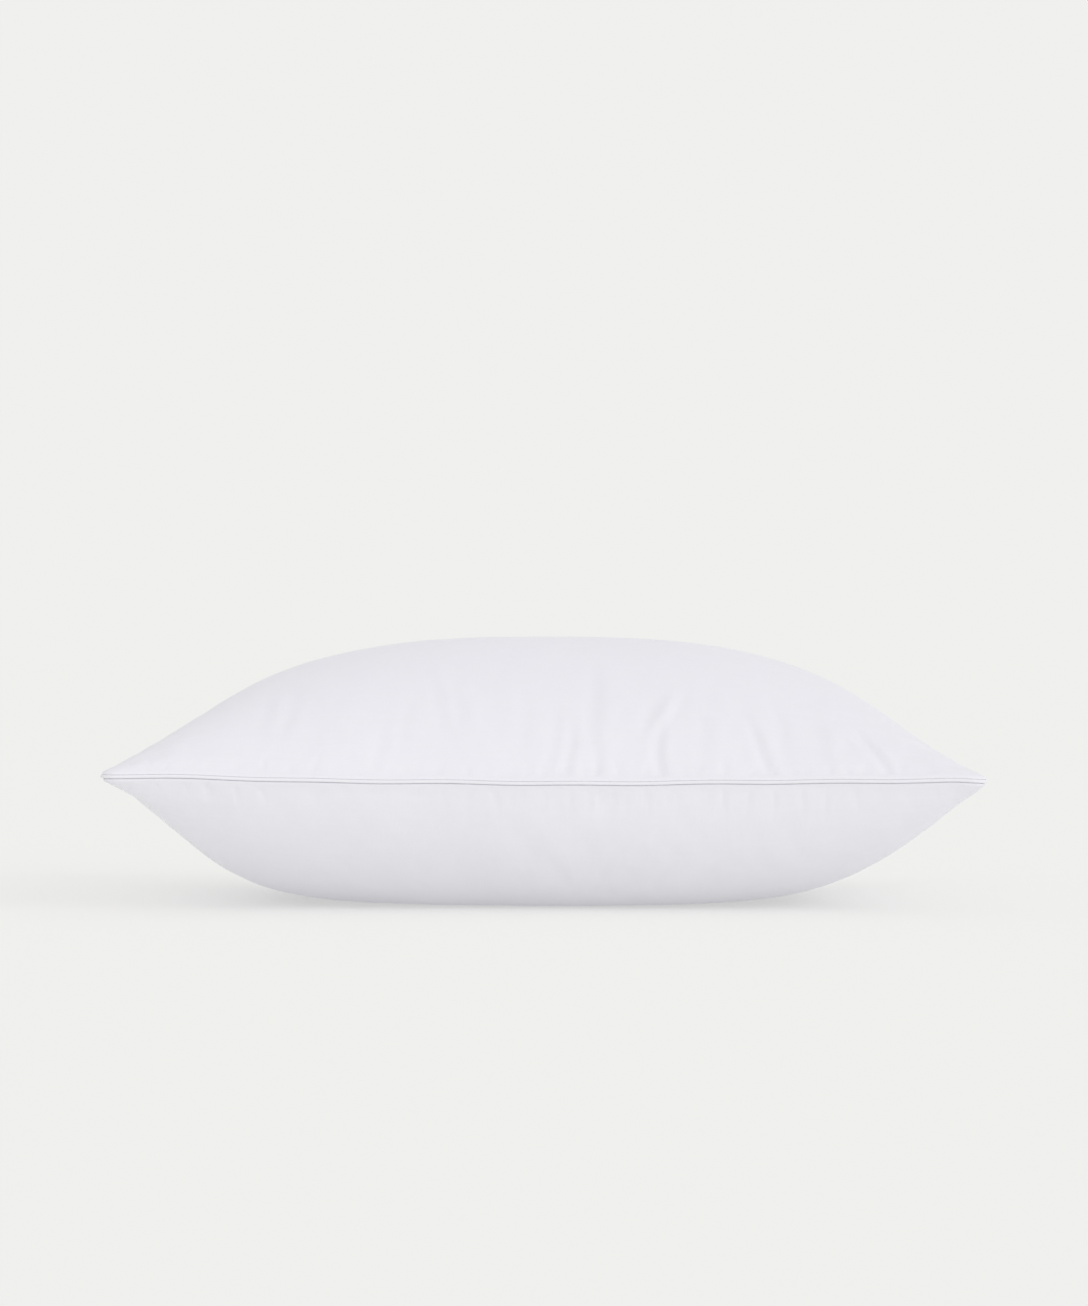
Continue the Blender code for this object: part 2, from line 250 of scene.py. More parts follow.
def drawn_in(along, inward, edge, shortest, longest, spread, depth):
    """How deep one kind of fold is, this far along an edge and in from it."""
    chance = 0.5 + noise.noise(Vector((along * spread * 0.4, edge * 5.1, 2.0)))
    length = shortest + (longest - shortest) * min(max(chance, 0.0), 1.0)
    if not 0 < inward < length:
        return 0.0
    grain = noise.noise(Vector((along * spread, edge * 7.3, inward * spread * 0.27)))
    fold = max(0.0, 1 - abs(grain) / 0.26) ** 2
    return depth * fold * smooth(0.0, 0.0025, inward) * smooth(length, length * 0.3, inward)


def pressed(across, along, place, side):
    """How deep the fold is at this place of a panel's cut, measured from the panel's middle."""
    to_side = CUT_LENGTH / 2 - abs(across)
    to_long = CUT_WIDTH / 2 - abs(along)
    at_side = to_side < to_long
    inward = min(to_side, to_long)
    if inward <= 0:
        return 0.0
    run, beyond = (along, across) if at_side else (across, along)
    edge = side * (2 if at_side else 1) * (1 if beyond > 0 else 1.5)  # no two edges fold alike
    share = smooth(*FLAT_CORNER, math.hypot(to_side, to_long))
    depth = share * drawn_in(run, inward, edge, *PUCKERS)
    if side > 0 and along < 0 and not at_side:
        rise = place.z - seam_level(place.x, place.y)
        return depth + crease_depth(place.x, rise) * 0.8 * smooth(0.0, 0.004, to_long)
    if side > 0 or along > 0 or at_side:
        share *= smooth(0.0, 0.014, inward)
        depth += share * drawn_in(run, inward, edge + 0.4, *LONG_FOLDS)
    return depth


def ease(u, v, side):
    """How much spare cloth was eased into the seam here, from 0 to 1."""
    to_side = (1 - abs(u)) * HALF_LENGTH
    to_long = (1 - abs(v)) * HALF_WIDTH
    x = plan(u, v)[0]
    near = max(0.0, 1 - min(to_side, to_long) / EASED[side])
    if side > 0 and v < 0 and to_long < to_side:
        near *= 0.30 + 0.70 * smooth(-0.10, 0.03, x)
    else:
        near *= 0.7
    return near


def settled(side):
    """Lets a swollen panel settle as cloth, held at the seam and where it lies on the floor."""
    bm = bmesh.new()
    flat = bm.loops.layers.uv.new("cut")
    bmesh.ops.create_grid(bm, x_segments=CELLS_X, y_segments=CELLS_Y, size=1)
    unit = []
    for vertex in bm.verts:
        u = crowded(vertex.co.x, CROWDING_X)
        v = crowded(vertex.co.y, CROWDING_Y)
        unit.append((u, v))
        for loop in vertex.link_loops:
            loop[flat].uv = (u * CUT_LENGTH / 2, v * CUT_WIDTH / 2)
    held = []
    for vertex, (u, v) in zip(bm.verts, unit):
        vertex.co = swollen(u, v, side)
        held.append(vertex.is_boundary or (side < 0 and vertex.co.z < ON_THE_FLOOR))
    bm.normal_update()
    for vertex, (u, v), fixed in zip(bm.verts, unit, held):
        if not fixed:
            grain = noise.noise(vertex.co * 45.0 + Vector((side * 7.0, 3.0, 0.0)))
            vertex.co += vertex.normal * 0.0006 * grain
            if side > 0 and vertex.co.y < 0:
                rise = vertex.co.z - seam_level(vertex.co.x, vertex.co.y)
                vertex.co -= vertex.normal * crease_depth(vertex.co.x, rise) * 0.5
    if side < 0:
        bmesh.ops.reverse_faces(bm, faces=bm.faces)
    mesh = bpy.data.meshes.new("panel")
    bm.to_mesh(mesh)
    bm.free()
    panel = bpy.data.objects.new("panel", mesh)
    bpy.context.scene.collection.objects.link(panel)
    hold = panel.vertex_groups.new(name="hold")
    spare = panel.vertex_groups.new(name="spare")
    for index, (u, v) in enumerate(unit):
        if held[index]:
            hold.add([index], 1.0, "REPLACE")
        spare.add([index], ease(u, v, side), "REPLACE")
    cloth = panel.modifiers.new("Cloth", "CLOTH")
    cloth.settings.quality = 6
    cloth.settings.mass = 0.02
    cloth.settings.tension_stiffness = 40
    cloth.settings.compression_stiffness = 10
    cloth.settings.shear_stiffness = 5
    cloth.settings.bending_stiffness = 0.02
    cloth.settings.air_damping = 2
    cloth.settings.vertex_group_mass = "hold"
    cloth.settings.vertex_group_shrink = "spare"
    cloth.settings.shrink_min = -0.002
    cloth.settings.shrink_max = -0.045
    cloth.settings.use_pressure = True
    cloth.settings.uniform_pressure_force = 2.0
    cloth.settings.effector_weights.gravity = 0.0
    cloth.collision_settings.use_collision = False
    return panel, unit


settling = {side: settled(side) for side in (1, -1)}
for step in range(1, SETTLE_FRAMES + 1):
    bpy.context.scene.frame_set(step)
bpy.context.view_layer.update()

GridPoint = namedtuple("GridPoint", "u v swollen settled fold")
panel_meshes = {}
panel_points = {}
depsgraph = bpy.context.evaluated_depsgraph_get()
for side, (panel, unit) in settling.items():
    made = bpy.data.meshes.new_from_object(panel.evaluated_get(depsgraph))
    for vertex, (u, v) in zip(made.vertices, unit):
        vertex.co.z = max(vertex.co.z, 0.0)
    panel_meshes[side] = made
    panel_points[side] = []
    for vertex, (u, v) in zip(made.vertices, unit):
        fold = pressed(u * CUT_LENGTH / 2, v * CUT_WIDTH / 2, vertex.co, side)
        panel_points[side].append(
            GridPoint(u, v, swollen(u, v, side), vertex.co.copy(), -fold * vertex.normal)
        )
    bpy.data.objects.remove(panel)
bpy.context.scene.frame_set(1)


def walk(turn):
    """The place on the unit square's rim after this much of a turn from the front left corner."""
    turn %= 1.0
    if turn < LONG_SHARE:
        return 2 * turn / LONG_SHARE - 1, -1.0
    if turn < 0.5:
        return 1.0, 2 * (turn - LONG_SHARE) / (0.5 - LONG_SHARE) - 1
    if turn < 0.5 + LONG_SHARE:
        return 1 - 2 * (turn - 0.5) / LONG_SHARE, 1.0
    return -1.0, 1 - 2 * (turn - 0.5 - LONG_SHARE) / (0.5 - LONG_SHARE)


def turn_of(u, v):
    """The inverse of walk, for a point on the rim."""
    if v <= -1 + 1e-6:
        return (u + 1) / 2 * LONG_SHARE
    if u >= 1 - 1e-6:
        return LONG_SHARE + (v + 1) / 2 * (0.5 - LONG_SHARE)
    if v >= 1 - 1e-6:
        return 0.5 + (1 - u) / 2 * LONG_SHARE
    return 0.5 + LONG_SHARE + (1 - v) / 2 * (0.5 - LONG_SHARE)


def clipped(turn, out):
    """A reach into the allowance, less what is cut away across the corners."""
    corners = (0, LONG_SHARE, 0.5, 0.5 + LONG_SHARE)
    to_corner = min(abs((turn - corner + 0.5) % 1 - 0.5) for corner in corners)
    cut = CORNER_CLIP * smooth(*CLIP_ENDS, to_corner)
    return out + cut * min(1, (-STITCHED - out) / CLIP_GROWTH)


def beside_seam(turn, out, up):
    """A point beside the seam: out from the rim, and up from the seam's own height."""
    if out < -STITCHED:
        out = clipped(turn, out)
    here = Vector(plan(*walk(turn)))
    ahead = Vector(plan(*walk(turn + LOOK_AHEAD))) - Vector(plan(*walk(turn - LOOK_AHEAD)))
    outward = Vector((ahead.y, -ahead.x)).normalized()
    place = here + outward * out
    return Vector((*place, seam_level(*here) + up))


def extruded(bm, edges):
    """Extrudes a chain of edges in place, and returns its new edges and vertices."""
    grown = bmesh.ops.extrude_edge_only(bm, edges=edges)["geom"]
    fresh = {item for item in grown if isinstance(item, bmesh.types.BMVert)}
    chain = [
        item
        for item in grown
        if isinstance(item, bmesh.types.BMEdge) and set(item.verts) <= fresh
    ]
    return chain, fresh


def lay_out(bm, turn, reach):
    """Continues the flat map of a panel's cut over its seam allowance."""
    flat = bm.loops.layers.uv["cut"]
    for vertex in bm.verts:
        if vertex[reach] <= 0:
            continue
        u, v = walk(vertex[turn])
        for loop in vertex.link_loops:
            loop[flat].uv = (
                u * (CUT_LENGTH / 2 + (vertex[reach] if abs(u) > 0.9999 else 0)),
                v * (CUT_WIDTH / 2 + (vertex[reach] if abs(v) > 0.9999 else 0)),
            )


def turned_in(bm, side, start, path):
    """Brings a panel's rim to its start, then along a path into the seam: (out, up) in mm."""
    turn = bm.verts.layers.float.new("turn")
    reach = bm.verts.layers.float.new("reach")
    for vertex, point in zip(bm.verts, panel_points[side]):
        if vertex.is_boundary:
            vertex[turn] = turn_of(point.u, point.v)
            vertex.co = beside_seam(vertex[turn], start[0] * 0.001, side * start[1] * 0.001)
    edges = [edge for edge in bm.edges if edge.is_boundary]
    gone = 0.0
    for last, (out, up) in zip((start, *path), path):
        gone += math.dist(last, (out, up)) * 0.001
        edges, fresh = extruded(bm, edges)
        for vertex in fresh:
            vertex.co = beside_seam(vertex[turn], out * 0.001, side * up * 0.001)
            vertex[reach] = gone
    lay_out(bm, turn, reach)


def finished(name, bm, thickness, smoothing, material):
    """Turns a bmesh into a named piece, with its cloth's thickness and its finish."""
    mesh = bpy.data.meshes.new(name)
    bm.to_mesh(mesh)
    bm.free()
    mesh.materials.clear()
    mesh.materials.append(material)
    mesh.shade_smooth()
    piece = bpy.data.objects.new(name, mesh)
    bpy.context.scene.collection.objects.link(piece)
    if smoothing:
        subdivision = piece.modifiers.new("Smooth", "SUBSURF")
        subdivision.levels = smoothing
        subdivision.render_levels = smoothing
    if thickness:
        solidify = piece.modifiers.new("Cloth thickness", "SOLIDIFY")
        solidify.thickness = thickness
        solidify.offset = -1
        solidify.use_even_offset = True
    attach(piece, "root")
    return piece


def new_group(name, inputs, outputs):
    """An empty shader group, whose inputs are a place and then plain numbers."""
    group = bpy.data.node_groups.new(name, "ShaderNodeTree")
    group.interface.new_socket("Place", in_out="INPUT", socket_type="NodeSocketVector")
    for socket in inputs:
        group.interface.new_socket(socket, in_out="INPUT", socket_type="NodeSocketFloat")
    for socket in outputs:
        group.interface.new_socket(socket, in_out="OUTPUT", socket_type="NodeSocketFloat")
    return group, group.nodes.new("NodeGroupInput"), group.nodes.new("NodeGroupOutput")


def noise_of(tree, place, scale, detail):
    """Noise at a place, at a scale that is a number or another node's output."""
    made = tree.nodes.new("ShaderNodeTexNoise")
    made.inputs["Detail"].default_value = detail
    tree.links.new(place, made.inputs["Vector"])
    if isinstance(scale, bpy.types.NodeSocket):
        tree.links.new(scale, made.inputs["Scale"])
    else:
        made.inputs["Scale"].default_value = scale
    return made


def stretched(tree, value, low, high):
    """A value's range from low to high, stretched to go from 0 to 1."""
    made = tree.nodes.new("ShaderNodeMapRange")
    made.inputs["From Min"].default_value = low
    made.inputs["From Max"].default_value = high
    tree.links.new(value, made.inputs["Value"])
    return made.outputs["Result"]


def weave_group():
    """A plain weave, its slubs and the crumples of its handling, on the cloth's own flat map."""
    group, given, result = new_group("plain_weave", ["Threads"], ["Height", "Slub", "Crumple"])
    nodes, links = group.nodes, group.links
    across = nodes.new("ShaderNodeVectorMath")
    across.operation = "SCALE"
    links.new(given.outputs["Place"], across.inputs[0])
    links.new(given.outputs["Threads"], across.inputs["Scale"])
    split = nodes.new("ShaderNodeSeparateXYZ")
    links.new(across.outputs["Vector"], split.inputs[0])

    def wave(source):
        turn = nodes.new("ShaderNodeMath")
        turn.operation = "MULTIPLY"
        turn.inputs[1].default_value = math.pi
        links.new(source, turn.inputs[0])
        sine = nodes.new("ShaderNodeMath")
        sine.operation = "SINE"
        links.new(turn.outputs[0], sine.inputs[0])
        return sine.outputs[0]

    both = nodes.new("ShaderNodeMath")
    both.operation = "MULTIPLY"
    links.new(wave(split.outputs["X"]), both.inputs[0])
    links.new(wave(split.outputs["Y"]), both.inputs[1])
    links.new(both.outputs[0], result.inputs["Height"])
    stretch = nodes.new("ShaderNodeVectorMath")
    stretch.operation = "MULTIPLY"
    stretch.inputs[1].default_value = (22.0, 420.0, 1.0)
    links.new(given.outputs["Place"], stretch.inputs[0])
    streaks = noise_of(group, stretch.outputs["Vector"], 1.0, 2.0)
    patches = noise_of(group, given.outputs["Place"], 9.0, 3.0)
    slub = nodes.new("ShaderNodeMath")
    slub.operation = "MULTIPLY"
    links.new(patches.outputs["Fac"], slub.inputs[0])
    links.new(streaks.outputs["Fac"], slub.inputs[1])
    links.new(stretched(group, slub.outputs[0], 0.12, 0.34), result.inputs["Slub"])
    crumple = noise_of(group, given.outputs["Place"], 130.0, 4.0)
    crumple.inputs["Roughness"].default_value = 0.6
    links.new(crumple.outputs["Fac"], result.inputs["Crumple"])
    return group


def bare_finish(name, roughness, sheen):
    """A new material, with the numbers that are even all over it, and its shader."""
    made = bpy.data.materials.new(name)
    made.use_nodes = True
    shader = made.node_tree.nodes["Principled BSDF"]
    shader.inputs["Roughness"].default_value = roughness
    shader.inputs["Sheen Weight"].default_value = sheen
    return made, shader


def coloured(tree, shader, mask, first, second):
    """Takes a finish from its first colour to its second, as the mask goes from 0 to 1."""
    tone = tree.nodes.new("ShaderNodeMix")
    tone.data_type = "RGBA"
    tone.inputs[6].default_value = (*first, 1.0)  # the colour sockets A and B
    tone.inputs[7].default_value = (*second, 1.0)
    tree.links.new(mask, tone.inputs["Factor"])
    tree.links.new(tone.outputs[2], shader.inputs["Base Color"])


def raised(tree, height, distance, strength):
    """A bumped surface, as a node."""
    made = tree.nodes.new("ShaderNodeBump")
    made.inputs["Distance"].default_value = distance
    made.inputs["Strength"].default_value = strength
    tree.links.new(height, made.inputs["Height"])
    return made


def woven(tree, threads):
    """The weave, with this many threads, laid along the flat map of a piece's cut."""
    cut = tree.nodes.new("ShaderNodeUVMap")
    cut.uv_map = "cut"
    weave = tree.nodes.new("ShaderNodeGroup")
    weave.node_tree = plain_weave
    weave.inputs["Threads"].default_value = threads
    tree.links.new(cut.outputs["UV"], weave.inputs["Place"])
    return weave, cut.outputs["UV"]


def cotton(name, pale, shade, threads):
    """A woven cotton finish: even, matt, with faint slubs and a soft handle of tiny crumples."""
    made, shader = bare_finish(name, 0.82, 0.12)
    shader.inputs["Specular IOR Level"].default_value = 0.25
    shader.inputs["Sheen Roughness"].default_value = 0.45
    tree = made.node_tree
    weave, _ = woven(tree, threads)
    coloured(tree, shader, weave.outputs["Slub"], shade, pale)
    fine = raised(tree, weave.outputs["Height"], 0.00006, 0.5)
    soft = raised(tree, weave.outputs["Crumple"], 0.0009, 0.20)
    tree.links.new(fine.outputs["Normal"], soft.inputs["Normal"])
    tree.links.new(soft.outputs["Normal"], shader.inputs["Normal"])
    return made


plain_weave = weave_group()
percale = cotton("percale", (0.884, 0.878, 0.930), (0.874, 0.868, 0.921), 3200.0)

# From the rim, the cloth rolls over the piping and runs back into the seam: (out, up) in mm.
ROLL = {
    1: ((1.0, 3.3), (1.85, 2.4), (2.22, 1.16), (1.45, 1.43), (-0.1, 0.87)),
    -1: ((0.7, 3.3), (1.2, 2.3), (1.0, 1.5), (-0.1, 0.87)),
}


def creased(bm, side):
    """Presses the fine creases and puckers into a panel that has its full number of faces."""
    flat = bm.loops.layers.uv["cut"]
    bm.normal_update()
    moves = []
    for vertex in bm.verts:
        cut = vertex.link_loops[0][flat].uv
        moves.append((vertex, vertex.normal * pressed(cut.x, cut.y, vertex.co, side)))
    for vertex, move in moves:
        vertex.co -= move
        vertex.co.z = max(vertex.co.z, 0.0)


def shell_panel(name, side):
    """One shell panel: the settled cloth, rolled over the piping and back into the seam."""
    bm = bmesh.new()
    bm.from_mesh(panel_meshes[side])
    raw_edge = (-ALLOWANCE * 1000, 0.86)
    turned_in(bm, side, (0.0, RIM_RISE * 1000), (*ROLL[side], raw_edge))
    control = bpy.data.meshes.new("control")
    bm.to_mesh(control)
    bm.free()
    rounded = bpy.data.objects.new("control", control)
    bpy.context.scene.collection.objects.link(rounded)
    rounding = rounded.modifiers.new("Smooth", "SUBSURF")
    rounding.levels = 1
    rounding.render_levels = 1
    bm = bmesh.new()
    bm.from_object(rounded, bpy.context.evaluated_depsgraph_get())
    bpy.data.objects.remove(rounded)
    creased(bm, side)
    return finished(name, bm, CLOTH, 0, percale)


upper_shell = shell_panel("upper_shell", 1)
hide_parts("shell_top")
lower_shell = shell_panel("lower_shell", -1)
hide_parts("shell_bottom")

# ------------------------------------------------------------------------ chamber panels
# Two panels of unbleached cambric, cut like the shell and caught in the same seam. They
# part the firm core from the soft layer above and below it.

CORE_SHARE = 0.62
CHAMBER_CLOTH = 0.0004
CHAMBER_RIM = 0.00335
CHAMBER_CLEAR = 0.0015  # from the shell's outer face
CHAMBER_FOLLOWS = 0.8  # how much of the shell's settling the chamber takes up
CHAMBER_ROLL = ((-0.25, 3.1), (-0.11, 2.45), (-0.25, 1.8), (-0.7, 1.55))  # (out, up) in mm

cambric = cotton("cambric", (0.80, 0.775, 0.715), (0.765, 0.735, 0.67), 2400.0)


def outer_face(piece):
    """A piece's own mesh, before its cloth's thickness, as something to keep clear of."""
    bm = bmesh.new()
    bm.from_mesh(piece.data)
    face = BVHTree.FromBMesh(bm)
    bm.free()
    return face


def kept_clear(place, face, distance):
    """Moves a place at least this far in from a face, or out from it if distance is negative."""
    surface, normal, _, _ = face.find_nearest(place)
    depth = (surface - place).dot(normal)
    if distance > 0:
        return place - normal * max(distance - depth, 0.0)
    return place + normal * max(depth - distance, 0.0)


def chamber_place(point, side, shell):
    """Where the chamber panel lies under this grid point of the shell."""
    level = seam_level(point.swollen.x, point.swollen.y)
    rise = max((point.swollen.z - level) * side - RIM_RISE, 0.0)
    place = point.swollen.copy()
    place.z = level + side * (CHAMBER_RIM + CORE_SHARE * rise)
    place += (point.settled - point.swollen) * CHAMBER_FOLLOWS + point.fold
    return kept_clear(place, shell, CHAMBER_CLEAR)


shell_faces = {1: outer_face(upper_shell), -1: outer_face(lower_shell)}
chamber_points = {
    side: [chamber_place(point, side, shell_faces[side]) for point in panel_points[side]]
    for side in (1, -1)
}


def chamber_panel(name, side):
    """One chamber panel, under the shell's, with its own turn into the same seam."""
    bm = bmesh.new()
    bm.from_mesh(panel_meshes[side])
    for vertex, place in zip(bm.verts, chamber_points[side]):
        vertex.co = place
    raw_edge = (-ALLOWANCE * 1000, 1.55)
    turned_in(bm, side, (-0.7, CHAMBER_RIM * 1000), (*CHAMBER_ROLL, raw_edge))
    return finished(name, bm, CHAMBER_CLOTH, 0, cambric)


upper_chamber = chamber_panel("upper_chamber_panel", 1)
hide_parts("chamber_top")
lower_chamber = chamber_panel("lower_chamber_panel", -1)
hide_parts("chamber_bottom")

# ----------------------------------------------------------------------------- the piping
# A soft three-ply cotton cord in a strip of the shell's cotton, cut on the bias. The strip
# wraps the cord, and its two flanges are caught between the panels.

CORD_OUT = 0.00171
CORD_RADIUS = 0.00076
PLY_RADIUS = 0.00035
PLY_TURNS = 367
PLY_STEPS = 6  # points in one turn of a ply
SEAM_LENGTH = 2.22
COVER_RADIUS = 0.00126
COVER_CLOTH = 0.0004
COVER_STATIONS = 960
COVER_STEPS = 16
FLANGE = 0.00055


def thread_run(name, runs, radius, closed, material):
    """Threads or plies that run along these lists of points, as one piece."""
    curve = bpy.data.curves.new(name, "CURVE")
    curve.dimensions = "3D"
    for points in runs:
        spline = curve.splines.new("POLY")
        spline.points.add(len(points) - 1)
        for control, place in zip(spline.points, points):
            control.co = (*place, 1.0)
        spline.use_cyclic_u = closed
    curve.bevel_depth = radius
    curve.bevel_resolution = 1
    curve.use_fill_caps = not closed
    curve.materials.append(material)
    piece = bpy.data.objects.new(name, curve)
    bpy.context.scene.collection.objects.link(piece)
    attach(piece, "root")
    return piece


def fibre_group():
    """The fine fibres of a spun yarn, as one value for their bumps and for the painted shade
    between them.
    """
    group, given, result = new_group("yarn_fibres", ["Fibres"], ["Fibre"])
    hairs = noise_of(group, given.outputs["Place"], given.outputs["Fibres"], 3.0)
    group.links.new(hairs.outputs["Fac"], result.inputs["Fibre"])
    return group


yarn_fibres = fibre_group()


def spun_yarn(name, pale, shade, fibres, roughness):
    """A spun yarn: fine fibres along and across it, with painted shade between them."""
    made, shader = bare_finish(name, roughness, 0.15)
    shader.inputs["Specular IOR Level"].default_value = 0.3
    tree = made.node_tree
    place = tree.nodes.new("ShaderNodeTexCoord")
    hairs = tree.nodes.new("ShaderNodeGroup")
    hairs.node_tree = yarn_fibres
    hairs.inputs["Fibres"].default_value = fibres
    tree.links.new(place.outputs["Object"], hairs.inputs["Place"])
    # painted shade: the colour goes darker where the fibres' bump is low, between them
    coloured(tree, shader, hairs.outputs["Fibre"], shade, pale)
    rough = raised(tree, hairs.outputs["Fibre"], 0.0001, 0.5)
    tree.links.new(rough.outputs["Normal"], shader.inputs["Normal"])
    return made


def ply(number):
    """One ply's path round the pillow, twisted about the middle of the cord."""
    points = []
    for step in range(PLY_TURNS * PLY_STEPS):
        turn = step / (PLY_TURNS * PLY_STEPS)
        twist = math.tau * (step / PLY_STEPS + number / 3)
        reach = CORD_RADIUS - PLY_RADIUS
        points.append(
            beside_seam(turn, CORD_OUT + reach * math.cos(twist), reach * math.sin(twist))
        )
    return points


string = spun_yarn("piping_string", (0.80, 0.765, 0.69), (0.70, 0.66, 0.58), 4000.0, 0.9)
piping_cord = thread_run(
    "piping_cord_plies", [ply(n) for n in range(3)], PLY_RADIUS, True, string
)
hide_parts("piping_cord")


def cover_profile():
    """The strip from one flange round the cord to the other, as (out, up)."""
    opening = math.asin(FLANGE / COVER_RADIUS)
    profile = [(-ALLOWANCE, FLANGE), (-STITCHED, FLANGE)]
    for k in range(COVER_STEPS + 1):
        angle = math.pi - opening - 2 * (math.pi - opening) * k / COVER_STEPS
        profile.append(
            (CORD_OUT + COVER_RADIUS * math.cos(angle), COVER_RADIUS * math.sin(angle))
        )
    return profile + [(-STITCHED, -FLANGE), (-ALLOWANCE, -FLANGE)]


def piping_cover():
    """The bias strip, from flange to flange round the cord and all the way round the seam."""
    bm = bmesh.new()
    flat = bm.loops.layers.uv.new("cut")
    turn = bm.verts.layers.float.new("turn")
    across = bm.verts.layers.float.new("across")
    profile = cover_profile()
    loop = []
    for k in range(COVER_STATIONS):
        loop.append(bm.verts.new(beside_seam(k / COVER_STATIONS, *profile[0])))
        loop[-1][turn] = k / COVER_STATIONS
    edges = [bm.edges.new((loop[k - 1], loop[k])) for k in range(COVER_STATIONS)]
    reached = 0.0
    for (last_out, last_up), (out, up) in zip(profile, profile[1:]):
        reached += math.hypot(out - last_out, up - last_up)
        edges, fresh = extruded(bm, edges)
        for vertex in fresh:
            vertex.co = beside_seam(vertex[turn], out, up)
            vertex[across] = reached
    for face in bm.faces:
        wraps = max(v[turn] for v in face.verts) - min(v[turn] for v in face.verts) > 0.5
        for corner in face.loops:
            along = corner.vert[turn] + (1 if wraps and corner.vert[turn] < 0.5 else 0)
            skew = corner.vert[across]
            corner[flat].uv = (along * SEAM_LENGTH + skew, along * SEAM_LENGTH - skew)
    return finished("piping", bm, COVER_CLOTH, 0, bias_cotton)


bias_cotton = cotton("bias_cotton", (0.89, 0.885, 0.93), (0.875, 0.87, 0.915), 2300.0)
piping = piping_cover()
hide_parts("piping_cover")

# --------------------------------------------------------------------------- care label
# A blank white woven tape, 25 mm wide. It starts under the piping of the rear side, just
# outside the seam, and hangs over the belly. Its lower end is turned back in a narrow hem.

LABEL_WIDTH = 0.025
LABEL_CLOTH = 0.0003
LABEL_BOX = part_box("care_label")
LABEL_CELLS = 12
# the tape's path, as (out, up) from the seam in mm: under the piping, over and down
LABEL_PATH = (
    (1.3, -1.95), (2.4, -2.0), (3.4, -2.2), (4.3, -2.7), (4.9, -3.5), (5.2, -4.8), (5.35, -7.0),
    (5.5, -11.0), (5.6, -16.0), (5.6, -21.0), (5.5, -26.0), (5.3, -31.0), (5.1, -36.0),
    (4.95, -41.0), (4.9, -44.5), (4.75, -45.5), (4.45, -46.0), (4.15, -45.6), (4.05, -44.6),
    (4.15, -42.0), (4.3, -39.5),
)


def label_tape():
    """Woven tape: fine ribs across it, and a firm selvedge down each side."""
    made, shader = bare_finish("label_tape", 0.5, 0.1)
    tree = made.node_tree
    weave, cut = woven(tree, 5200.0)
    split = tree.nodes.new("ShaderNodeSeparateXYZ")
    tree.links.new(cut, split.inputs[0])
    from_middle = tree.nodes.new("ShaderNodeMath")
    from_middle.operation = "ABSOLUTE"
    tree.links.new(split.outputs["X"], from_middle.inputs[0])
    edge = LABEL_WIDTH / 2
    selvedge = stretched(tree, from_middle.outputs[0], edge - 0.0016, edge - 0.0011)
    coloured(tree, shader, selvedge, (0.90, 0.90, 0.885), (0.82, 0.82, 0.80))
    ribs = raised(tree, weave.outputs["Height"], 0.00005, 0.6)
    tree.links.new(ribs.outputs["Normal"], shader.inputs["Normal"])
    return made


def care_label():
    """The tape, from under the piping down to the hem at its end."""
    middle = turn_of((LABEL_BOX[0][0] + LABEL_BOX[1][0]) / 2 / HALF_LENGTH, 1.0)
    bm = bmesh.new()
    flat = bm.loops.layers.uv.new("cut")
    across = bm.verts.layers.float.new("across")
    down_tape = bm.verts.layers.float.new("down_tape")
    ahead = beside_seam(middle + 0.004, 0, 0) - beside_seam(middle - 0.004, 0, 0)
    ahead.z = 0.0
    ahead.normalize()
    outwards = Vector((ahead.y, -ahead.x, 0.0))
    seam = beside_seam(middle, 0, 0)

    def place(sideways, out, up):
        sag = -0.6 * smooth(-8, -40, up) * math.cos(sideways / LABEL_WIDTH * 2.4)
        turned = 0.05 * smooth(-6, -40, up) * sideways / 0.001
        hung = seam + ahead * sideways + outwards * (out + sag + turned) * 0.001
        return hung + Vector((0, 0, up * 0.001))

    row = []
    for k in range(LABEL_CELLS + 1):
        sideways = LABEL_WIDTH * (k / LABEL_CELLS - 0.5)
        row.append(bm.verts.new(place(sideways, *LABEL_PATH[0])))
        row[-1][across] = sideways
    edges = [bm.edges.new(pair) for pair in zip(row, row[1:])]
    gone = 0.0
    for last, here in zip(LABEL_PATH, LABEL_PATH[1:]):
        gone += math.dist(last, here) * 0.001
        edges, fresh = extruded(bm, edges)
        for vertex in fresh:
            vertex.co = place(vertex[across], *here)
            vertex[down_tape] = gone
    for face in bm.faces:
        for corner in face.loops:
            corner[flat].uv = (corner.vert[across], corner.vert[down_tape])
    bmesh.ops.recalc_face_normals(bm, faces=bm.faces)
    return finished("care_label_tape", bm, LABEL_CLOTH, 1, label_tape())


label = care_label()
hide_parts("care_label")

# -------------------------------------------------------------------------- seam threads
# Spun polyester. The seam's two threads lie inside the fold of the panels, one on each side
# of the layers and not through them. An overlock wraps the raw edges of all the layers.

STITCH = 0.0025
SEAM_STITCHES = round(SEAM_LENGTH / STITCH)
SEAM_THREAD_OUT = -0.0013
SEAM_THREAD_UP = 0.00245
SEAM_THREAD_RADIUS = 0.0002
SEAM_THREAD_ARCH = (0.0, 0.000084, 0.00012, 0.000084)  # how it rises along one stitch
OVERLOCK_RADIUS = 0.00015
OVERLOCK_MOUTH = -0.0065
OVERLOCK_EDGE = -ALLOWANCE - 0.00045
OVERLOCK_UP = 0.0024

white_thread = spun_yarn("sewing_thread", (0.90, 0.90, 0.90), (0.83, 0.83, 0.83), 6000.0, 0.55)


def seam_row(side):
    """A row of stitches: the thread rises between the needle holes, and dips at each."""
    points = []
    for stitch in range(SEAM_STITCHES):
        for part, rise in enumerate(SEAM_THREAD_ARCH):
            turn = (stitch + part / len(SEAM_THREAD_ARCH)) / SEAM_STITCHES
            points.append(beside_seam(turn, SEAM_THREAD_OUT, side * (SEAM_THREAD_UP + rise)))
    return points


